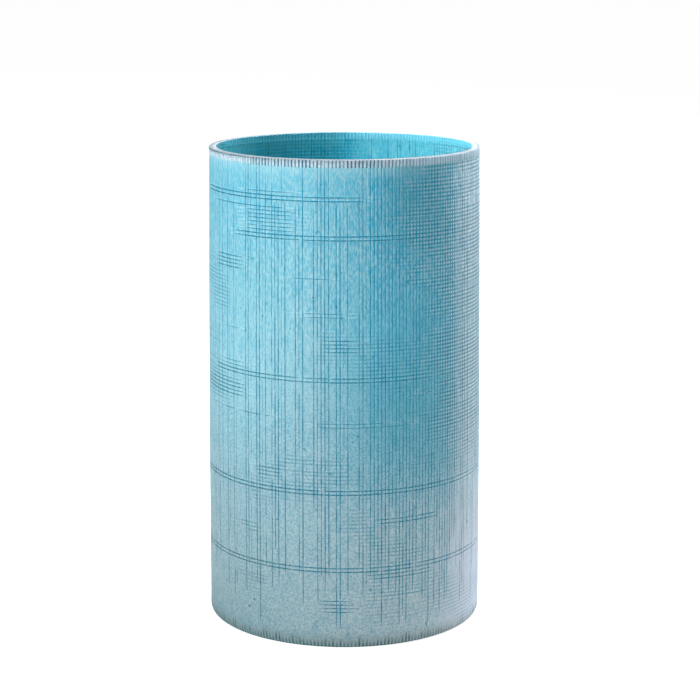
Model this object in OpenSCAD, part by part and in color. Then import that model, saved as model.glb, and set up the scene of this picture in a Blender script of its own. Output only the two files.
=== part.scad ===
// Cylinder vase of cased, hand blown glass.
// Four layers of glass are fused face to face, from the inside out: a turquoise
// lining, a clear casing that also makes the heavy base, a pale frosted skin that
// carries the engraving, and a pale band round the lip.
// Millimetres, +Z up, origin at the centre of the base, on the plane it stands on.

/* [Body] */
// Height from the table to the ground top of the lip
height = 290; // [220:5:340]
// Outer diameter of the skin where it meets the lip
rim_d = 163; // [130:1:200]
// Outer diameter of the skin just above the rounded foot
base_d = 168; // [130:1:200]
// Extra radius of the wall half way up, left by the blowing
belly = 0.6; // [0:0.1:2]

/* [Glass layers] */
// Wall of the pale outer skin
skin_t = 1.0; // [0.6:0.1:2]
// Wall of the clear casing between skin and lining
casing_t = 3.3; // [2:0.1:6]
// Wall of the turquoise lining
lining_t = 1.2; // [0.8:0.1:2.5]
// Thickness of clear glass under the lining
casing_floor = 11; // [8:0.5:20]
// Thickness of the lining's own floor
lining_floor = 3; // [2:0.5:5]

/* [Lip] */
// Height of the pale band round the lip
lip_h = 4.5; // [3:0.5:10]
// How far the band stands proud of the skin
lip_proud = 0.2; // [0.1:0.1:0.8]
// Rounding of the lip's outer and inner edges
lip_round = 0.6; // [0.3:0.1:0.8]

/* [Base] */
// Rounding of the outer foot edge
foot_r = 4; // [3:0.5:7]
// Rounding of the corner between inner wall and inner floor
inner_corner_r = 12; // [6:1:20]
// Diameter of the hollow ground into the underside
punt_d = 96; // [60:2:110]
// Depth of that hollow at its middle
punt_depth = 3; // [1.5:0.5:5]

/* [Hidden] */

wall_steps = 16;
lip_steps = 2;
arc_steps = 8;
around = 180;

// Insets of the three inner faces from the outer face of the skin
casing_inset = skin_t;
lining_inset = casing_inset + casing_t;
inside_inset = lining_inset + lining_t;

inside_floor_z = casing_floor + lining_floor;
lip_z = height - lip_h;
punt_sphere_r = (pow(punt_d / 2, 2) + pow(punt_depth, 2)) / (2 * punt_depth);

// Radius of the skin's outer face at height z: a slight taper plus a slight belly.
function wall_r(z) =
    let (t = z / height)
    base_d / 2 + t * (rim_d - base_d) / 2 + 4 * belly * t * (1 - t);

// Points up a wall face, inset from the outer one, from z0 to z1.
function wall_points(inset, z0, z1, steps = wall_steps) =
    [for (i = [0:steps]) let (z = z0 + (z1 - z0) * i / steps) [wall_r(z) - inset, z]];

// Points of an arc about centre c, from angle a0 to a1.
function arc_points(c, r, a0, a1) =
    [for (i = [0:arc_steps]) let (a = a0 + (a1 - a0) * i / arc_steps) c + r * [cos(a), sin(a)]];

// A cup-shaped face: floor at floor_z, a rounded corner, then the wall up to z1.
// The corner's first point stands for the edge of the floor.
function cup_points(inset, floor_z, corner_r, z1) =
    let (corner_z = floor_z + corner_r)
    concat(
        arc_points([wall_r(corner_z) - inset - corner_r, corner_z], corner_r, -90, 0),
        tail(wall_points(inset, corner_z, z1)));

// Everything after the first point, and the points in reverse order.
function tail(points) = [for (i = [1:len(points) - 1]) points[i]];
function reversed(points) = [for (i = [len(points) - 1:-1:0]) points[i]];

// The face between casing and lining, and the face of the space inside.
function lining_face() = cup_points(lining_inset, casing_floor, inner_corner_r + lining_t, height);
function inside_face() = cup_points(inside_inset, inside_floor_z, inner_corner_r, height - lip_round);

// The face between casing and skin. At the foot it steps down to the ground base.
function skin_face() =
    let (foot_edge = wall_r(foot_r) - foot_r)
    concat(
        [[foot_edge, 0]],
        arc_points([foot_edge, foot_r], foot_r - skin_t, -90, 0),
        tail(wall_points(casing_inset, foot_r, lip_z)));

// The face between casing and lip band.
function lip_face() = wall_points(casing_inset, lip_z, height, lip_steps);

module turned(points) {
    rotate_extrude($fn = around) polygon(points);
}

module turquoise_lining() {
    rim_inside = wall_r(height - lip_round) - inside_inset;
    color("darkturquoise")
        turned(concat(
            [[0, casing_floor]],
            lining_face(),
            arc_points([rim_inside + lip_round, height - lip_round], lip_round, 90, 180),
            tail(reversed(inside_face())),
            [[0, inside_floor_z]]));
}

module clear_casing() {
    color("azure")
        difference() {
            turned(concat(
                [[0, 0]],
                skin_face(),
                tail(lip_face()),
                reversed(lining_face()),
                [[0, casing_floor]]));
            translate([0, 0, punt_depth - punt_sphere_r])
                sphere(r = punt_sphere_r, $fn = around);
        }
}

module frosted_skin() {
    color("lightblue")
        turned(concat(
            cup_points(0, 0, foot_r, lip_z),
            reversed(skin_face())));
}

module lip_band() {
    outer = wall_r(lip_z) + lip_proud;
    color("lightsteelblue")
        turned(concat(
            [[outer, lip_z]],
            arc_points([outer - lip_round, height - lip_round], lip_round, 0, 90),
            reversed(lip_face())));
}

turquoise_lining();
clear_casing();
frosted_skin();
lip_band();
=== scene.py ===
import math
import random

import bpy
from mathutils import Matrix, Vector


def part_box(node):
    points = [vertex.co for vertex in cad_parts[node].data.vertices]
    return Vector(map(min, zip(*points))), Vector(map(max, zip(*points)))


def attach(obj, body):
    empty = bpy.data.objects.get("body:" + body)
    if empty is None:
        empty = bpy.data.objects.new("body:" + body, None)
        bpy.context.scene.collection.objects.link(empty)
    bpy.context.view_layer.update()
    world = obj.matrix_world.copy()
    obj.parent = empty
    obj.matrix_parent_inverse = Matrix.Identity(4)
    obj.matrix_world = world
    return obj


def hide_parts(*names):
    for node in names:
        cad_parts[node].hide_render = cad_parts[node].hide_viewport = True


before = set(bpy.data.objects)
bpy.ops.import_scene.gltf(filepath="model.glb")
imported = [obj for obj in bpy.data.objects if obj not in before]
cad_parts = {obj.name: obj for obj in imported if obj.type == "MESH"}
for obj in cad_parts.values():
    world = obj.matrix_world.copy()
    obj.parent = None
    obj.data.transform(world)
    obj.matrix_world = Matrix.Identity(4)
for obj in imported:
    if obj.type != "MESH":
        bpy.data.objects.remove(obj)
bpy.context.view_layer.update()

MM = 0.001


# ---- Turquoise lining -------------------------------------------------------------------
# The first gather, of transparent turquoise glass, blown and opened into a straight cup.
# No tool touched its inner face, which is fire polished. Its outer face is fused to the casing.

class Wire:
    """One socket of a node tree. Arithmetic on it adds Math nodes, and add() makes any other node."""

    def __init__(self, tree, socket=None):
        self.tree = tree
        self.socket = socket

    def add(self, kind, settings=None, inputs=None, output=0):
        """Makes a node: its settings first, then the values or wires of its sockets."""
        made = self.tree.nodes.new(kind)
        for name, value in (settings or {}).items():
            setattr(made, name, value)
        for name, value in (inputs or {}).items():
            if isinstance(value, Wire):
                self.tree.links.new(value.socket, made.inputs[name])
            else:
                made.inputs[name].default_value = value
        return Wire(self.tree, made.outputs[output] if len(made.outputs) else None)

    def out(self, name):
        return Wire(self.tree, self.socket.node.outputs[name])

    def maths(self, operation, *others):
        inputs = dict(enumerate((self, *others)))
        return self.add("ShaderNodeMath", {"operation": operation}, inputs)

    def __add__(self, other):
        return self.maths("ADD", other)

    def __radd__(self, other):
        return self.maths("ADD", other)

    def __sub__(self, other):
        return self.maths("SUBTRACT", other)

    def __rsub__(self, other):
        return (self * -1.0) + other

    def __mul__(self, other):
        return self.maths("MULTIPLY", other)

    def __rmul__(self, other):
        return self.maths("MULTIPLY", other)

    def __truediv__(self, other):
        return self.maths("DIVIDE", other)

    def rise(self, low, high):
        """0 at low, 1 at high, with a smooth curve between; low may be the larger."""
        ends = {"Value": self, "From Min": low, "From Max": high}
        return self.add("ShaderNodeMapRange", {"interpolation_type": "SMOOTHSTEP"}, ends)

    def between(self, first, second):
        """The colour that lies this far from the first colour to the second."""
        inputs = {0: self, 6: first, 7: second}
        return self.add("ShaderNodeMix", {"data_type": "RGBA"}, inputs, output=2)

    def noise(self, vector, scale, detail=2.0, roughness=0.5):
        inputs = {"Vector": vector, "Scale": scale, "Detail": detail, "Roughness": roughness}
        return self.add("ShaderNodeTexNoise", {}, inputs)

    def stretched(self, along_x, along_y, along_z):
        """This vector with each of its axes scaled."""
        return self.add("ShaderNodeMapping", {}, {"Vector": self, "Scale": (along_x, along_y, along_z)})


def glass(name, build):
    """A material whose surface is the shader that build(start) returns."""
    material = bpy.data.materials.new(name)
    material.use_nodes = True
    material.node_tree.nodes.clear()
    start = Wire(material.node_tree)
    start.add("ShaderNodeOutputMaterial", {}, {"Surface": build(start)})
    return material


lining_low, lining_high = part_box("turquoise_lining")
lip_low, lip_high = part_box("lip_band")
casing_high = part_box("clear_casing")[1]
skin_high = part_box("frosted_skin")[1]

height = lip_high.z
lip_z = lip_low.z
lip_proud = 0.2 * MM
belly = 0.6 * MM
base_r = skin_high.x
throat_r = lip_high.x - lip_proud


def wall_r(z):
    """Radius of the outer face at height z: a slight taper and a slight belly, left by the blowing."""
    t = z / lip_z
    return base_r + t * (throat_r - base_r) + 4 * belly * t * (1 - t)


JOIN_GAP = 0.02 * MM  # keeps the fused faces of two layers apart, so that neither hides the other
skin_t = base_r - casing_high.x
inner_corner = 12 * MM
lining_t = 1.2 * MM
lining_corner = inner_corner + lining_t
lining_inset = wall_r(lining_low.z + lining_corner) - lining_high.x
lining_floor = 3 * MM
edge_round = 0.6 * MM
ARC_STEPS = 6


def arc(centre_r, centre_z, radius, start, end):
    """Points of an arc of the outline, from one angle to the other, in degrees."""
    angles = [math.radians(start + (end - start) * i / ARC_STEPS) for i in range(ARC_STEPS + 1)]
    return [(centre_r + radius * math.cos(a), centre_z + radius * math.sin(a)) for a in angles]


def climb(inset, low, high, steps=14):
    """Points up a wall face that lies inset from the outer one."""
    heights = [low + (high - low) * i / steps for i in range(steps + 1)]
    return [(wall_r(z) - inset, z) for z in heights]


def cup(inset, floor_z, corner, high):
    """The face of a cup: its middle on the axis, a rounded corner, then the wall."""
    corner_z = floor_z + corner
    middle_of_corner = wall_r(corner_z) - inset - corner
    rounded = arc(middle_of_corner, corner_z, corner, -90, 0)
    return [(0, floor_z)] + rounded + climb(inset, corner_z, high)[1:]


AROUND = 240  # flat faces round a turned shell


def turned(name, faces, materials):
    """A shell of revolution from an outline. Each of its faces is (points, material number), in order
    from the axis under the piece, up its outer side, over its edge and down its inner side."""
    outline, worn = [], []
    for number, (points, material) in enumerate(faces):
        fresh = points if number == 0 else points[1:]
        outline += fresh
        worn += [material] * (len(fresh) if number else len(fresh) - 1)
    rings, vertices = [], []
    for radius, z in outline:
        count = 1 if radius < 1e-9 else AROUND
        rings.append([len(vertices) + k % count for k in range(AROUND + 1)])
        for k in range(count):
            turn = 2 * math.pi * k / AROUND
            vertices.append((radius * math.sin(turn), -radius * math.cos(turn), z))
    travel = [0.0]
    for (r0, z0), (r1, z1) in zip(outline, outline[1:]):
        travel.append(travel[-1] + math.hypot(r1 - r0, z1 - z0))
    polygons, corners, numbers = [], [], []
    for i, (below, above) in enumerate(zip(rings, rings[1:])):
        low_v, high_v = travel[i] / travel[-1], travel[i + 1] / travel[-1]
        for k in range(AROUND):
            spots = [(below[k], k, low_v), (below[k + 1], k + 1, low_v),
                     (above[k + 1], k + 1, high_v), (above[k], k, high_v)]
            if below[k] == below[k + 1]:
                spots.pop(1)
            elif above[k] == above[k + 1]:
                spots.pop(2)
            polygons.append([vertex for vertex, _, _ in spots])
            corners += [(column / AROUND, v) for _, column, v in spots]
            numbers.append(worn[i])
    mesh = bpy.data.meshes.new(name)
    mesh.from_pydata(vertices, [], polygons)
    mesh.polygons.foreach_set("material_index", numbers)
    mesh.polygons.foreach_set("use_smooth", [True] * len(polygons))
    layer = mesh.uv_layers.new(name="OFBake")
    layer.uv.foreach_set("vector", [number for corner in corners for number in corner])
    for material in materials:
        mesh.materials.append(material)
    piece = bpy.data.objects.new(name, mesh)
    bpy.context.scene.collection.objects.link(piece)
    return piece


def turquoise(start):
    """Deep transparent turquoise with a hard, wet gloss and the long waves of blown glass."""
    here = start.add("ShaderNodeTexCoord", output="Object")
    waves = start.noise(here.stretched(1, 1, 0.35), 28.0, 1.0)
    swirl = start.noise(here.stretched(1, 1, 0.15), 60.0, 3.0).rise(0.35, 0.7)
    colour = swirl.between((0.012, 0.30, 0.40, 1), (0.03, 0.42, 0.53, 1))
    place = start.add("ShaderNodeSeparateXYZ", {}, {0: here})
    angle = place.out("X").maths("ARCTAN2", place.out("Y") * -1.0)
    painted_glow_back_right = angle.rise(1.0, 1.6) * angle.rise(3.14, 2.90)  # painted light: paler on the right of the back, standing in for lamp light shining in through the wall
    colour = (painted_glow_back_right * 0.8).between(colour, (0.42, 0.62, 0.68, 1))
    bump = start.add("ShaderNodeBump", {}, {"Height": waves, "Strength": 0.35, "Distance": 0.0012})
    body = start.add("ShaderNodeBsdfPrincipled", {}, {
        "Base Color": colour, "Roughness": 0.09, "IOR": 1.5, "Normal": bump})
    through = start.add("ShaderNodeBsdfTransparent", {}, {"Color": (0.30, 0.84, 0.92, 1)})
    return start.add("ShaderNodeMixShader", {}, {0: 0.78, 1: body, 2: through})


def fused(start):
    """A face where two layers are fused: there is no surface to see."""
    return start.add("ShaderNodeBsdfPrincipled", {}, {
        "Base Color": (0.5, 0.85, 0.9, 1), "Roughness": 0.3, "Alpha": 0.0})


turquoise_glass = glass("turquoise_glass", turquoise)
fused_join = glass("fused_join", fused)

rim_inside = wall_r(height) - lining_inset - lining_t
lining_outside = cup(lining_inset + JOIN_GAP, lining_low.z + JOIN_GAP, lining_corner, height)
lining_inside = cup(
    lining_inset + lining_t, lining_low.z + lining_floor, inner_corner, height - edge_round)
lining = turned("turquoise_lining_glass", [
    (lining_outside[:2], 0),
    (lining_outside[1:], 1),
    ([lining_outside[-1]] + arc(rim_inside + edge_round, height - edge_round, edge_round, 90, 180), 0),
    (lining_inside[::-1], 0),
], [turquoise_glass, fused_join])
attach(lining, "root")
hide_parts("turquoise_lining")


# ---- Clear casing -----------------------------------------------------------------------
# The thick gather of clear glass over the lining. It is hidden in the wall and seen at the
# ground and satin finished rim, and below in the heavy base with its ground ring and punt.

WHEEL_STEP = 0.9 * MM  # from one faint ring of the grinding wheel to the next


def ground_rim(start):
    """Pale glass, ground flat and acid polished: satin, with faint rings from the wheel."""
    here = start.add("ShaderNodeTexCoord", output="Object")
    place = start.add("ShaderNodeSeparateXYZ", {}, {0: here})
    x, y, z = place.out("X"), place.out("Y"), place.out("Z")
    radius = (x * x + y * y).maths("SQRT")
    rings = (radius * (2 * math.pi / WHEEL_STEP)).maths("SINE")
    cloud = start.noise(here, 90.0, 3.0).rise(0.3, 0.75)
    grain = start.noise(here, 900.0, 3.0, 0.65)
    high = z.rise(height - 30 * MM, height - 2 * MM)
    rim = grain.rise(0.36, 0.62).between((0.66, 0.73, 0.82, 1), (0.84, 0.89, 0.96, 1))
    base = cloud.between((0.26, 0.50, 0.53, 1), (0.36, 0.60, 0.63, 1))
    bump = start.add("ShaderNodeBump", {}, {
        "Height": grain + rings * 0.3, "Strength": 0.25, "Distance": 0.0002})
    satin = start.add("ShaderNodeBsdfPrincipled", {}, {
        "Base Color": high.between(base, rim), "Roughness": 0.38, "IOR": 1.5, "Normal": bump})
    through = start.add("ShaderNodeBsdfTransparent", {}, {"Color": (0.88, 0.96, 0.97, 1)})
    return start.add("ShaderNodeMixShader", {}, {0: 0.30 + high * 0.30, 1: satin, 2: through})


def polished_base(start):
    """Clear heavy glass of the punt, with the turquoise floor showing through it."""
    here = start.add("ShaderNodeTexCoord", output="Object")
    seeds = start.add("ShaderNodeTexVoronoi", {}, {"Vector": here, "Scale": 260.0})
    bubble = seeds.rise(0.16, 0.10)
    cloud = start.noise(here, 35.0, 2.0).rise(0.3, 0.7)
    colour = cloud.between((0.16, 0.52, 0.58, 1), (0.28, 0.64, 0.69, 1))
    bump = start.add("ShaderNodeBump", {}, {"Height": bubble, "Strength": 0.2, "Distance": 0.0003})
    body = start.add("ShaderNodeBsdfPrincipled", {}, {
        "Base Color": colour, "Roughness": 0.07, "IOR": 1.52, "Normal": bump})
    through = start.add("ShaderNodeBsdfTransparent", {}, {"Color": (0.86, 0.97, 0.97, 1)})
    return start.add("ShaderNodeMixShader", {}, {0: 0.45, 1: body, 2: through})


ground_glass = glass("ground_glass", ground_rim)
base_glass = glass("polished_base_glass", polished_base)

foot_r = 4 * MM
foot_edge = wall_r(foot_r) - foot_r
punt_r = 48 * MM
punt_depth = 3 * MM
punt_sphere = (punt_r ** 2 + punt_depth ** 2) / (2 * punt_depth)
punt_rise = math.degrees(math.asin(punt_r / punt_sphere))
punt = [(0, punt_depth)] + arc(0, punt_depth - punt_sphere, punt_sphere, 90, 90 - punt_rise)[1:]
foot_step = arc(foot_edge - JOIN_GAP, foot_r, foot_r - skin_t, -90, 0)
casing_outside = [(foot_edge - JOIN_GAP, 0)] + foot_step + climb(skin_t + JOIN_GAP, foot_r, height)[1:]
casing_inside = cup(lining_inset, lining_low.z, lining_corner, height)
casing = turned("clear_casing_glass", [
    (punt, 0),
    ([punt[-1], casing_outside[0]], 1),
    (casing_outside, 2),
    ([casing_outside[-1], casing_inside[-1]], 1),
    (casing_inside[::-1], 2),
], [base_glass, ground_glass, fused_join])
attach(casing, "root")
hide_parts("clear_casing")


# ---- Frosted skin -----------------------------------------------------------------------
# The outer coat: pale blue glass powder rolled on and fused, then matt etched. A wheel cut
# fine upright and level grooves through it on one square screen, which shows as a loose linen weave.

SCREEN_LINES = 236  # upright grooves that would stand round the vase if none were left out
SCREEN_STEP = 2 * math.pi * base_r / SCREEN_LINES
GROOVE_WIDTH = 1.1 * MM
GROOVE_DEPTH = 0.3 * MM
FADE_LOW = 14 * MM  # how far an upright groove takes to reach its depth at its lower and upper end
FADE_HIGH = 10 * MM
CREASE = math.radians(9)  # faces that meet at more than this keep a sharp edge
WELD = 0.001 * MM


def socket(tree, name, kind, value=None):
    """A named input of a tree."""
    made = tree.interface.new_socket(name, in_out="INPUT", socket_type="NodeSocket" + kind)
    if value is not None:
        made.default_value = value
    return made


def cut_shell_tree():
    """A closed shell of revolution with grooves. The plan holds one point for each column of vertices
    (upright true) and one for each row, which lies where the outline has it."""
    tree = bpy.data.node_groups.new("cut_glass_shell", "GeometryNodeTree")
    socket(tree, "Plan", "Geometry")
    socket(tree, "Groove depth", "Float", GROOVE_DEPTH)
    socket(tree, "Wander", "Float", 0.0012)
    socket(tree, "Unevenness", "Float", 0.45)
    socket(tree, "Seed", "Float", 3.0)
    socket(tree, "Outer glass", "Material")
    socket(tree, "Hidden glass", "Material")
    tree.interface.new_socket("Shell", in_out="OUTPUT", socket_type="NodeSocketGeometry")
    given = Wire(tree).add("NodeGroupInput")
    seed = given.out("Seed")

    def named(name):
        return given.add("GeometryNodeInputNamedAttribute", {"data_type": "FLOAT"}, {"Name": name})

    parts = given.add("GeometryNodeSeparateGeometry", {}, {0: given, 1: named("upright_point")})
    columns, rows = parts, parts.out("Inverted")

    def count(points):
        return points.add("GeometryNodeAttributeDomainSize", {}, {0: points})

    column_count, row_count = count(columns), count(rows)
    grid = given.add("GeometryNodeMeshGrid", {}, {
        "Vertices X": column_count + 1.0, "Vertices Y": row_count + 1.0})
    index = given.add("GeometryNodeInputIndex")
    column_step = ((index + 0.5) / (row_count + 1.0)).maths("FLOOR")
    row_step = index - column_step * (row_count + 1.0)
    column = column_step.maths("FLOORED_MODULO", column_count)
    row = row_step.maths("FLOORED_MODULO", row_count)

    def of_column(name):
        return given.add("GeometryNodeSampleIndex", {}, {
            "Geometry": columns, "Value": named(name), "Index": column})

    def of_row(name):
        return given.add("GeometryNodeSampleIndex", {}, {
            "Geometry": rows, "Value": named(name), "Index": row})

    z, outer = of_row("z"), of_row("outer")
    line, turn = of_column("line"), of_column("turn")
    drift = given.add("ShaderNodeCombineXYZ", {}, {0: line * 3.7 + seed, 1: z * 9.0, 2: seed})
    drift = given.noise(drift, 1.0, 1.0) - 0.5
    angle = turn * (2 * math.pi) + drift * given.out("Wander")

    touch = given.add("ShaderNodeCombineXYZ", {}, {0: line * 5.3 + seed, 1: z * 70.0, 2: seed})
    touch = 1.0 - given.noise(touch, 1.0, 3.0).rise(0.60, 0.34) * given.out("Unevenness")
    upright = of_column("cut") * touch * outer
    upright = upright * z.rise(of_column("low"), of_column("low") + FADE_LOW)
    upright = upright * z.rise(of_column("high"), of_column("high") - FADE_HIGH)

    away = (angle - of_row("facing")).maths("COSINE").maths("ARCCOSINE")
    across = given.add("ShaderNodeCombineXYZ", {}, {
        0: angle.maths("SINE") * 9.0, 1: angle.maths("COSINE") * 9.0,
        2: of_row("line") * 1.9 + seed})
    patch = given.noise(across, 1.0, 2.0)
    behind = away.rise(1.5, 1.9) * patch.rise(0.52, 0.58)
    front = away.rise(of_row("half_arc") + 0.10, of_row("half_arc") - 0.10)
    level = of_row("cut") * front.maths("MAXIMUM", behind) * patch.rise(0.20, 0.45)

    depth = upright.maths("MAXIMUM", level) * outer * given.out("Groove depth")
    radius = of_row("radius") - depth
    spot = given.add("ShaderNodeCombineXYZ", {}, {
        0: radius * angle.maths("SINE"), 1: radius * angle.maths("COSINE") * -1.0, 2: z})
    shell = given.add("GeometryNodeSetPosition", {}, {"Geometry": grid, "Position": spot})

    def store(shell, name, value, kind="FLOAT", domain="POINT"):
        return shell.add("GeometryNodeStoreNamedAttribute", {"data_type": kind, "domain": domain}, {
            "Geometry": shell, "Name": name, "Value": value})

    def of_point(value, kind="FLOAT"):
        """The value worked out at the vertices, for use on the corners of the faces."""
        settings = {"data_type": kind, "domain": "POINT"}
        return value.add("GeometryNodeFieldOnDomain", settings, {"Value": value})

    shell = store(shell, "upright_cut", upright)
    shell = store(shell, "level_cut", level)
    whole_turn = of_column("turn") + column_step.maths("GREATER_THAN", column_count - 0.5)
    whole_way = of_row("along") + row_step.maths("GREATER_THAN", row_count - 0.5)
    place = given.add("ShaderNodeCombineXYZ", {}, {0: whole_turn, 1: whole_way})
    shell = store(shell, "OFBake", of_point(place, "FLOAT_VECTOR"), "FLOAT2", "CORNER")
    shell = store(shell, "open_to_view", outer)
    shell = shell.add("GeometryNodeMergeByDistance", {}, {"Geometry": shell, "Distance": WELD})
    fold = given.add("GeometryNodeInputMeshEdgeAngle").maths("GREATER_THAN", CREASE)
    where = given.add("ShaderNodeSeparateXYZ", {}, {0: given.add("GeometryNodeInputPosition")})
    above_foot = where.out("Z").maths("GREATER_THAN", foot_r + 0.1 * MM)
    shell = shell.add("GeometryNodeSetShadeSmooth", {"domain": "EDGE"}, {
        0: shell, "Selection": fold * above_foot, "Shade Smooth": False})
    shell = shell.add("GeometryNodeRealizeInstances", {}, {"Geometry": shell})
    seen = named("open_to_view").maths("GREATER_THAN", 0.75)
    for cover, material in ((seen, "Outer glass"), (1.0 - seen, "Hidden glass")):
        shell = shell.add("GeometryNodeSetMaterial", {}, {
            "Geometry": shell, "Selection": cover, "Material": given.out(material)})
    shell.add("NodeGroupOutput", {}, {0: shell})
    return tree


CUT_SHELL = cut_shell_tree()


def cut_shell(name, columns, rows, inputs):
    """Runs the tree on a plan of columns and rows, and returns the shell as a plain mesh object."""
    points = columns + rows
    plan = bpy.data.meshes.new(name + "_plan")
    plan.from_pydata([(0, 0, 0)] * len(points), [], [])
    for key in ("upright_point", "cut", "line", "turn", "low", "high",
                "radius", "z", "along", "outer", "facing", "half_arc"):
        values = plan.attributes.new(key, "FLOAT", "POINT")
        values.data.foreach_set("value", [float(point.get(key, 0)) for point in points])
    maker = bpy.data.objects.new(name + "_maker", plan)
    bpy.context.scene.collection.objects.link(maker)
    modifier = maker.modifiers.new("cut shell", "NODES")
    modifier.node_group = CUT_SHELL
    sockets = {item.name: item.identifier for item in CUT_SHELL.interface.items_tree}
    for key, value in inputs.items():
        modifier[sockets[key]] = value
    made = maker.evaluated_get(bpy.context.evaluated_depsgraph_get())
    mesh = bpy.data.meshes.new_from_object(made)
    bpy.data.objects.remove(maker)
    mesh.name = name
    mesh.polygons.foreach_set("use_smooth", [True] * len(mesh.polygons))
    piece = bpy.data.objects.new(name, mesh)
    bpy.context.scene.collection.objects.link(piece)
    return piece


def groove_columns(line, strength, low, high, width):
    """The three columns of one upright groove: its two edges and its middle."""
    turn = (line % SCREEN_LINES) / SCREEN_LINES
    aside = width / 2 / (2 * math.pi * base_r)
    shared = {"upright_point": 1, "line": line, "low": low, "high": high}
    return [dict(shared, turn=turn + side * aside, cut=strength if side == 0 else 0)
            for side in (-1, 0, 1)]


# Runs of neighbouring uprights, counted round from the front: the first line and how many.
# The last one is the close patch at the back.
open_weave = [
    (-57, 2), (-54, 3), (-50, 1), (-47, 3), (-43, 2), (-40, 1), (-37, 2), (-34, 2), (-29, 3),
    (-25, 4), (-20, 5), (-13, 3), (-8, 5), (-2, 4), (4, 5), (9, 6), (15, 18), (33, 3), (37, 3),
    (41, 1), (44, 2), (47, 5), (54, 3), (59, 1), (62, 2), (119, 25),
]
random_stretches = ((65, 118), (147, SCREEN_LINES - 58))
full_depth_lines = range(9, 34)
chance = random.Random(11)
lines = [first + k for first, many in open_weave for k in range(many)]
for line, end in random_stretches:
    while line < end:
        many = chance.randint(2, 5)
        lines += range(line, min(line + many, end))
        line += many + chance.randint(2, 4)

uprights = []
for line in sorted(lines, key=lambda each: each % SCREEN_LINES):
    strength = 1.0 if line in full_depth_lines else chance.choice((0.55, 0.75, 0.9, 1.0, 1.0))
    low = height * chance.choice((0.02, 0.05, 0.07, 0.09, 0.13, 0.18, 0.27))
    high = height * chance.choice((1.1, 1.1, 1.1, 0.96, 0.93))
    uprights += groove_columns(line, strength, low, high, GROOVE_WIDTH)

# Level grooves: how many screen steps the first lies below the lip, how many grooves,
# where the middle of their arc faces and half its width in degrees, and how deep they are.
level_bands = [
    (7, 1, -32, 12, 0.6), (8, 2, -35, 42, 1.0), (11, 1, -45, 22, 0.7), (12, 6, -32, 12, 0.7),
    (18, 2, 10, 60, 1.0), (25, 4, -56, 10, 0.8), (29, 1, -14, 8, 0.7), (38, 2, -8, 9, 0.6),
    (44, 1, -56, 9, 0.5), (45, 4, -1, 7, 0.8), (53, 2, -52, 9, 0.6), (55, 2, -15, 52, 0.9),
    (58, 1, -60, 16, 0.6), (59, 4, -62, 17, 0.9), (66, 1, -45, 16, 0.6), (67, 2, 8, 20, 0.6),
    (80, 3, -32, 6, 0.8), (85, 2, 0, 110, 1.0), (93, 2, 27, 14, 0.9), (96, 3, -44, 8, 0.6),
    (102, 2, 26, 11, 0.5), (106, 2, 0, 110, 1.0), (108, 2, 24, 14, 0.8), (114, 1, 26, 12, 0.6),
    (115, 4, -3, 7, 0.8),
]

PLAIN_STEP = 9 * MM  # the least height between rows where the skin has no level groove
TOP_ROWS = 3  # between the highest level groove and the lip band

rows = [{"radius": wall_r(foot_r) - foot_r + r, "z": foot_r - z, "outer": 1}
        for r, z in arc(0, 0, foot_r, 90, 0)]
level_lines = {}
for first, many, facing, half, strength in level_bands:
    for k in range(many):
        level_lines[first + k] = (facing, half, strength)
reach = foot_r
for number in sorted(level_lines, reverse=True):
    facing, half, strength = level_lines[number]
    z = lip_z - (number - 0.5) * SCREEN_STEP
    plain = int((z - reach) / PLAIN_STEP)
    rows += [{"z": reach + (z - reach) * (k + 1) / (plain + 1), "outer": 1} for k in range(plain)]
    for side in (-1, 0, 1):
        rows.append({
            "z": z + side * GROOVE_WIDTH / 2, "cut": strength if side == 0 else 0, "outer": 1,
            "line": number, "facing": math.radians(facing), "half_arc": math.radians(half)})
    reach = z + GROOVE_WIDTH / 2
rows += [{"z": reach + (lip_z - reach) * k / TOP_ROWS, "outer": 1} for k in range(1, TOP_ROWS + 1)]
for row in rows:
    row.setdefault("radius", wall_r(row["z"]))
rows += [{"radius": r, "z": z} for r, z in climb(skin_t, foot_r, lip_z, 6)[::-1]]
rows += [{"radius": r, "z": z} for r, z in arc(foot_edge, foot_r, foot_r - skin_t, 0, -90)[1:]]


def measure_along(rows):
    """Sets each row's share of the way round the outline."""
    ends = rows[1:] + rows[:1]
    gaps = [math.hypot(b["radius"] - a["radius"], b["z"] - a["z"]) for a, b in zip(rows, ends)]
    travel = 0.0
    for row, gap in zip(rows, gaps):
        row["along"] = travel / sum(gaps)
        travel += gap


measure_along(rows)


def shine_through(start, colour):
    """Light that comes out through the layer. Its colour changes over the surface, so it is mixed from
    plain ones, which holds where blue is at least green and green at least red."""
    part = start.add("ShaderNodeSeparateColor", {}, {0: colour})
    red, green, blue = part.out("Red"), part.out("Green"), part.out("Blue")
    light = start.add("ShaderNodeBsdfTranslucent", {}, {"Color": (1, 1, 1, 1)})
    for share, plain in ((red / green, (0, 1, 1, 1)), (green / blue, (0, 0, 1, 1)), (blue, (0, 0, 0, 1))):
        other = start.add("ShaderNodeBsdfTranslucent", {}, {"Color": plain})
        light = start.add("ShaderNodeMixShader", {}, {0: share, 1: other, 2: light})
    return light


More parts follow.
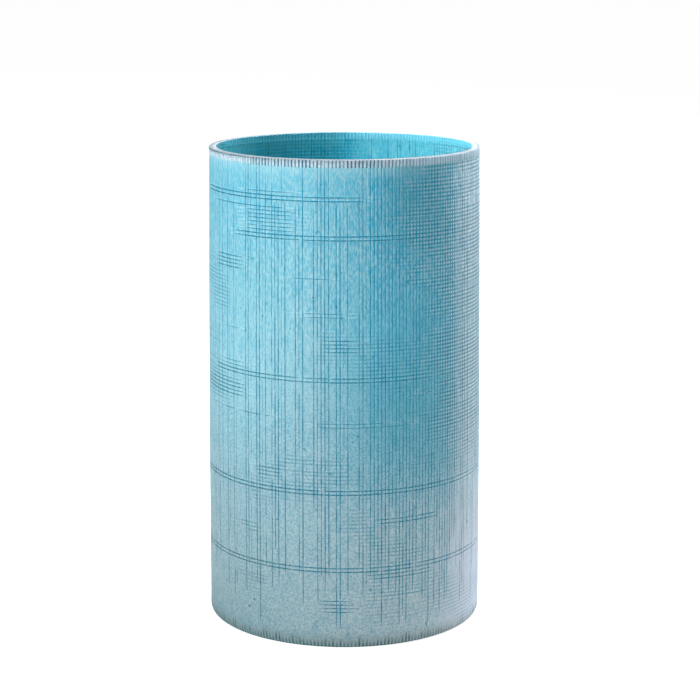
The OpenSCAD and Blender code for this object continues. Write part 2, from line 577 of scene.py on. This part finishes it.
def frosted(start):
    """Matt pale blue powder glass, speckled, with the grooves showing the turquoise beneath. The sides of
    the vase are told apart by the angle from the front, in radians and positive to the right."""
    here = start.add("ShaderNodeTexCoord", output="Object")
    place = start.add("ShaderNodeSeparateXYZ", {}, {0: here})
    x, y, z = place.out("X"), place.out("Y"), place.out("Z")
    angle = x.maths("ARCTAN2", y * -1.0)
    tall = z / height

    upright = start.add("ShaderNodeAttribute", {"attribute_name": "upright_cut"}, output="Fac")
    level = start.add("ShaderNodeAttribute", {"attribute_name": "level_cut"}, output="Fac")
    cut = upright.maths("MAXIMUM", level)
    grit = start.noise(here.stretched(1, 1, 0.30), 520.0, 2.0, 0.6).rise(0.36, 0.60)
    groove = cut.rise(0.12, 0.55) * (0.62 + grit * 0.38)
    # painted highlight: a thin band along each groove's edge, later painted near white
    edge_glint = cut.rise(0.0, 0.06) * (1.0 - cut.rise(0.1, 0.3))

    # The closely woven right side, where level cuts fill every step of the screen down to about a third
    # of the height. It starts on a ragged line. The same fine cuts lie in loose patches elsewhere.
    short_of_back = 1.0 - angle.rise(2.1, 2.5)
    short_of_side = 1.0 - angle.rise(0.75, 1.05)
    cloud = start.noise(here, 11.0, 2.0).rise(0.3, 0.7)
    ragged = start.noise(here.stretched(1, 1, 2.2), 30.0, 2.0) - 0.5
    close_side = (angle + tall.rise(0.62, 0.92) * 0.22 + ragged * 0.8).rise(0.52, 0.80)
    far_right = angle.rise(0.9, 1.2) * tall.rise(0.06, 0.26)
    close_side = close_side * short_of_back * (tall.rise(0.28, 0.46) * 0.7 + far_right * 0.25)
    # The close weave at the back, which also carries painted shade: it deepens the colour there below
    close_back_and_shade = (angle + 2.80).maths("COSINE").rise(0.84, 0.97) * tall.rise(0.45, 0.8)
    close_weave = close_side.maths("MAXIMUM", close_back_and_shade * 0.5)
    # painted sheen: the right side is painted paler and whiter where the soft box behind on the right
    # gives a grazing sheen
    painted_sheen_side = angle.rise(0.60, 1.15) * short_of_back
    middle = tall.rise(0.85, 0.65) * tall.rise(0.12, 0.35)
    patch = start.noise(here.stretched(1, 1, 1.2), 16.0, 1.0).rise(0.56, 0.66)
    patch = patch * tall.rise(0.93, 0.87)
    closeness = close_weave.maths("MAXIMUM", patch * (0.35 + tall * 0.25))
    rung = (lip_z - z) / SCREEN_STEP
    rung_number = rung.maths("FLOOR")
    off_middle = (rung - rung_number - 0.5).maths("ABSOLUTE")
    drift = start.add("ShaderNodeCombineXYZ", {}, {0: x * 20.0, 1: y * 20.0, 2: rung_number * 0.83})
    touch = start.noise(drift, 1.0, 1.0).rise(0.28, 0.48) * closeness
    off_line = 0.5 - ((angle * (SCREEN_LINES / (2 * math.pi))).maths("FRACT") - 0.5).maths("ABSOLUTE")
    threads = close_weave.maths("MINIMUM", 0.8) * grit.rise(0.0, 0.3)
    scratch = off_middle.rise(0.27, 0.08) * touch
    scratch = scratch.maths("MAXIMUM", off_line.rise(0.26, 0.08) * threads)
    dot = off_middle.rise(0.22, 0.40) * off_line.rise(0.20, 0.38) * touch * (0.3 + close_weave * 0.7)

    # Granules of powder: round low down, drawn out into dashes near the lip, in thin and thick clouds.
    granules = start.noise(here, 880.0, 3.0, 0.7).rise(0.41, 0.57)
    dashes = start.noise(here.stretched(1, 1, 0.27), 1250.0, 2.0, 0.6).rise(0.40, 0.60)
    drawn_out = tall.rise(0.40, 0.80)
    powder = granules * (1.0 - drawn_out) + dashes * drawn_out
    blots = start.noise(here.stretched(1, 1, 0.45), 190.0, 3.0, 0.6).rise(0.50, 0.66)
    worn_thin = angle.rise(-0.25, 0.40) * short_of_side * tall.rise(0.2, 0.5)
    # The close weave at the back adds depth here: painted shade on the back wall
    bare = (1.0 - powder) * 0.56 + blots * 0.16 + worn_thin * 0.34 + cloud * 0.06 + close_back_and_shade * 0.3
    bare = bare * (1.0 - painted_sheen_side * tall.rise(0.5, 0.15) * 0.5)
    seed = start.noise(here.stretched(1, 1, 0.7), 330.0, 1.0).rise(0.735, 0.78)

    thick = (1.0 - tall) * 0.85 + cloud * 0.15
    pale = thick.between((0.42, 0.69, 0.77, 1), (0.80, 0.90, 0.94, 1))
    pale = (tall.rise(0.80, 0.95) * 0.35).between(pale, (0.34, 0.56, 0.66, 1))
    pale = (worn_thin * middle).between(pale, (0.29, 0.77, 0.92, 1))
    pale = (painted_sheen_side * (0.95 - middle * 0.55)).between(pale, (0.82, 0.90, 1.0, 1))
    deep = thick.between((0.004, 0.45, 0.66, 1), (0.20, 0.54, 0.66, 1))
    cut_colour = thick.between((0.01, 0.24, 0.39, 1), (0.06, 0.28, 0.37, 1))
    cut_colour = (worn_thin * 0.9).between(cut_colour, (0.002, 0.35, 0.54, 1))
    middle_front = angle.rise(-0.75, -0.15) * short_of_side * (1.0 - worn_thin)
    cut_colour = (middle_front * 0.75).between(cut_colour, (0.012, 0.34, 0.53, 1))
    far_side = angle.rise(0.85, 1.15) * short_of_back
    cut_colour = (close_side * 0.6).between(cut_colour, (0.01, 0.26, 0.39, 1))
    cut_colour = (far_side * 0.5).between(cut_colour, (0.24, 0.42, 0.54, 1))
    colour = bare.between(pale, deep)
    # painted sheen: the lower right is painted pale lavender white
    painted_low_sheen = painted_sheen_side * tall.rise(0.34, 0.08)
    colour = (painted_low_sheen * 0.62).between(colour, (0.74, 0.82, 0.98, 1))
    # painted highlight: groove edges and the dots of land in the weave are painted near white as glints
    white = (edge_glint * 0.38).maths("MAXIMUM", dot)
    colour = white.between(colour, (0.88, 0.95, 0.98, 1))
    mark = groove.maths("MAXIMUM", scratch * 0.95)
    colour = (mark * 0.95).between(colour, cut_colour)
    # painted shade: a soft dark patch high on the right of the front
    painted_dark_patch = angle.rise(0.15, 0.5) * (1.0 - angle.rise(0.7, 0.95)) * tall.rise(0.72, 0.93)
    colour = (painted_dark_patch * 0.35).between(colour, (0.06, 0.26, 0.34, 1))
    # painted light: a pale cyan glow painted just under the lip on the front and left
    under_lip_glow = 1.0 - angle.maths("ABSOLUTE").rise(0.2, 1.0)
    under_lip_glow = under_lip_glow.maths("MAXIMUM", angle.rise(0.1, -0.4))
    colour = (tall.rise(0.955, 0.985) * under_lip_glow * 0.25).between(colour, (0.70, 0.97, 1.0, 1))
    shade = (angle + 2.72).maths("COSINE").rise(0.84, 0.98) * tall.rise(0.45, 0.95)
    shade = shade * (0.65 + cloud * 0.35)
    colour = (shade * 0.62).between(colour, (0.005, 0.14, 0.18, 1))
    colour = (seed * 0.6).between(colour, (0.02, 0.26, 0.41, 1))

    # Darker towards the foot and darkest in a thin line at the very bottom, with short dark ticks and
    # pale ones between them.
    tick = 0.5 - off_line
    uneven = start.noise(here.stretched(1, 1, 0.05), 260.0, 1.0).rise(0.25, 0.6)
    darker_foot = z.rise(12 * MM, 2 * MM) * (1.0 - painted_sheen_side * 0.7)
    colour = (darker_foot * 0.45).between(colour, (0.30, 0.38, 0.37, 1))
    nibble = (z + uneven * 4 * MM).rise(10 * MM, 4 * MM)
    colour = (nibble * tick.rise(0.12, 0.36) * 0.8).between(colour, (0.10, 0.19, 0.20, 1))
    colour = (nibble * tick.rise(0.16, 0.02) * 0.4).between(colour, (0.74, 0.80, 0.78, 1))
    colour = z.rise(1.6 * MM, 0.6 * MM).between(colour, (0.06, 0.18, 0.19, 1))

    relief = powder * 0.7 + dot * 0.8 - scratch * 1.3 + blots * -0.3 - seed * 0.4
    bump = start.add("ShaderNodeBump", {}, {"Height": relief, "Strength": 0.7, "Distance": 0.0003})
    coat = start.add("ShaderNodeBsdfPrincipled", {}, {
        "Base Color": colour, "Roughness": 0.42 + mark * 0.2, "IOR": 1.5, "Normal": bump})
    return start.add("ShaderNodeMixShader", {}, {0: 0.52, 1: coat, 2: shine_through(start, colour)})


frosted_glass = glass("frosted_glass", frosted)
skin = cut_shell("frosted_skin_glass", uprights, rows, {
    "Groove depth": GROOVE_DEPTH, "Wander": 0.0030, "Unevenness": 0.5, "Seed": 3.0,
    "Outer glass": frosted_glass, "Hidden glass": fused_join})
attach(skin, "root")
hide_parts("frosted_skin")


# ---- Lip band ---------------------------------------------------------------------------
# A narrow band of pale grey glass round the lip, standing just proud of the skin. It is cut
# all round with short upright nicks, close together and of uneven depth.

NICK_WIDTH = 1.5 * MM
NICK_DEPTH = 0.4 * MM
nicks = []
for number in range(SCREEN_LINES):
    strength = chance.choice((0.6, 0.8, 1.0, 1.0, 1.0))
    low = lip_z - FADE_LOW
    high = lip_z + chance.choice((3.6, 4.2, 6.0, 6.0)) * MM + FADE_HIGH
    nicks += groove_columns(number, strength, low, high, NICK_WIDTH)

band_r = lip_high.x
band_rows = [{"radius": band_r, "z": lip_z + share * (height - edge_round - lip_z), "outer": 1}
             for share in (0, 0.08, 0.3, 0.5, 0.7, 0.88)]
band_rows += [{"radius": r, "z": z, "outer": 1}
              for r, z in arc(band_r - edge_round, height - edge_round, edge_round, 0, 90)]
band_inner = wall_r(height) - skin_t
band_rows += [{"radius": band_inner, "z": height, "outer": 1},
              {"radius": band_inner, "z": lip_z, "outer": 0}]
measure_along(band_rows)


def lip(start):
    """Pale grey satin glass with dark nicks, and a dark line where its upper edge was bevelled."""
    here = start.add("ShaderNodeTexCoord", output="Object")
    place = start.add("ShaderNodeSeparateXYZ", {}, {0: here})
    x, y, z = place.out("X"), place.out("Y"), place.out("Z")
    nick = start.add("ShaderNodeAttribute", {"attribute_name": "upright_cut"}, output="Fac")
    grain = start.noise(here.stretched(1, 1, 0.7), 700.0, 3.0, 0.65)
    angle = x.maths("ARCTAN2", y * -1.0)
    rubbed_side = angle.rise(-0.62, -0.85) * angle.rise(-2.2, -1.9)
    behind = angle.maths("ABSOLUTE").rise(1.5, 2.0)
    top = z.rise(height - 0.30 * MM, height - 0.05 * MM)
    worn = start.noise(here, 24.0, 2.0).rise(0.35, 0.62)
    bevel = z.rise(height - 0.8 * MM, height - 0.55 * MM) * (1.0 - top) * worn
    speckle = grain.rise(0.36, 0.62)
    side = speckle.between((0.52, 0.65, 0.76, 1), (0.82, 0.90, 0.97, 1))
    # painted light: the right side of the band is painted paler and bluer, and its nicks weaker, where it
    # gets less light
    side = (angle.rise(0.1, 0.7) * 0.8).between(side, (0.66, 0.86, 1.0, 1))
    side = (behind * 0.6).between(side, (0.36, 0.62, 0.76, 1))
    shade = (angle + 2.72).maths("COSINE").rise(0.84, 0.98)
    side = (shade * 0.6).between(side, (0.005, 0.17, 0.22, 1))
    ragged = (z + grain * 3 * MM).rise(lip_z + 1.2 * MM, lip_z + 3.0 * MM)
    side = (ragged * 0.75 + 0.25).between((0.36, 0.66, 0.76, 1), side)
    colour = top.between(side, speckle.between((0.50, 0.56, 0.62, 1), (0.72, 0.76, 0.80, 1)))
    mark = nick.rise(0.12, 0.5) * (1.0 - top)
    mark = mark * (1.0 - rubbed_side * 0.75) * (1.0 - behind * 0.55)
    mark = mark * (1.0 - angle.rise(0.1, 0.7) * 0.45)
    mark = mark.maths("MAXIMUM", bevel * rubbed_side)
    colour = (mark * 0.9).between(colour, (0.02, 0.17, 0.26, 1))
    bump = start.add("ShaderNodeBump", {}, {"Height": grain, "Strength": 0.6, "Distance": 0.0003})
    coat = start.add("ShaderNodeBsdfPrincipled", {}, {
        "Base Color": colour, "Roughness": 0.42, "IOR": 1.5, "Normal": bump})
    return start.add("ShaderNodeMixShader", {}, {0: 0.6, 1: coat, 2: shine_through(start, colour)})


lip_glass = glass("lip_glass", lip)
band = cut_shell("lip_band_glass", nicks, band_rows, {
    "Groove depth": NICK_DEPTH, "Wander": 0.004, "Unevenness": 0.3, "Seed": 8.0,
    "Outer glass": lip_glass, "Hidden glass": fused_join})
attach(band, "root")
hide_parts("lip_band")


# ---- Studio -----------------------------------------------------------------------------
# A white floor that runs out of sight, soft boxes at the left and behind on the right, and white
# surroundings. None of it is part of the vase.

def plain_white(start):
    matt = start.add("ShaderNodeBsdfDiffuse", {}, {"Color": (0.86, 0.86, 0.86, 1)})
    seen = start.add("ShaderNodeLightPath", output="Is Camera Ray")
    lift = start.add("ShaderNodeEmission", {}, {"Color": (1, 1, 1, 1), "Strength": seen * 0.9})
    return start.add("ShaderNodeAddShader", {}, {0: matt, 1: lift})


FLOOR_HALF = 60.0
FLOOR_DROP = 0.05 * MM  # keeps the floor clear of the foot
corners = [(-1, -1), (1, -1), (1, 1), (-1, 1)]
floor_mesh = bpy.data.meshes.new("studio_floor")
spread = [(a * FLOOR_HALF, b * FLOOR_HALF, -FLOOR_DROP) for a, b in corners]
floor_mesh.from_pydata(spread, [], [(0, 1, 2, 3)])
floor_mesh.materials.append(glass("studio_white", plain_white))
floor = bpy.data.objects.new("studio_floor", floor_mesh)
bpy.context.scene.collection.objects.link(floor)


def around(azimuth, elevation, distance, target):
    """A point seen from the target at an azimuth from the front, positive to the right, in degrees."""
    a, e = math.radians(azimuth), math.radians(elevation)
    way = Vector((math.sin(a) * math.cos(e), -math.cos(a) * math.cos(e), math.sin(e)))
    return target + distance * way


LAMP_DISTANCE = 1.5
LIT_SHARE = 0.55  # of the height: where the lamps are aimed


def soft_box(name, azimuth, elevation, width, tall, power):
    lamp = bpy.data.lights.new(name, "AREA")
    lamp.shape = "RECTANGLE"
    lamp.size, lamp.size_y = width, tall
    lamp.energy = power
    holder = bpy.data.objects.new(name, lamp)
    target = Vector((0, 0, LIT_SHARE * height))
    holder.location = around(azimuth, elevation, LAMP_DISTANCE, target)
    holder.rotation_euler = (target - holder.location).to_track_quat("-Z", "Y").to_euler()
    bpy.context.scene.collection.objects.link(holder)


soft_box("high_box", azimuth=130, elevation=60, width=1.3, tall=0.8, power=56)
soft_box("back_box", azimuth=130, elevation=8, width=0.8, tall=0.9, power=10)
soft_box("left_box", azimuth=-42, elevation=8, width=1.2, tall=0.9, power=14.5)
soft_box("high_left_box", azimuth=-50, elevation=68, width=0.8, tall=0.9, power=5)

scene = bpy.context.scene
world = bpy.data.worlds.new("white_surroundings")
world.use_nodes = True
world.node_tree.nodes.clear()
sky = Wire(world.node_tree)
seen = sky.add("ShaderNodeLightPath", output="Is Camera Ray")
strength = 0.10 + seen * 0.9
shine = sky.add("ShaderNodeBackground", {}, {"Color": (1, 1, 1, 1), "Strength": strength})
sky.add("ShaderNodeOutputWorld", {}, {"Surface": shine})
scene.world = world
scene.view_settings.view_transform = "Standard"

# The camera looks a little down at the vase through a long lens, so that the walls stay near parallel.
LOOKS_DOWN = 11.65  # degrees
camera = bpy.data.cameras.new("camera")
camera.sensor_width = 36
camera.lens = 107.2
viewer = bpy.data.objects.new("camera", camera)
viewer.location = (0.0034, -1.258, 0.423)
viewer.rotation_euler = (math.radians(90 - LOOKS_DOWN), 0, 0)
scene.collection.objects.link(viewer)
scene.camera = viewer
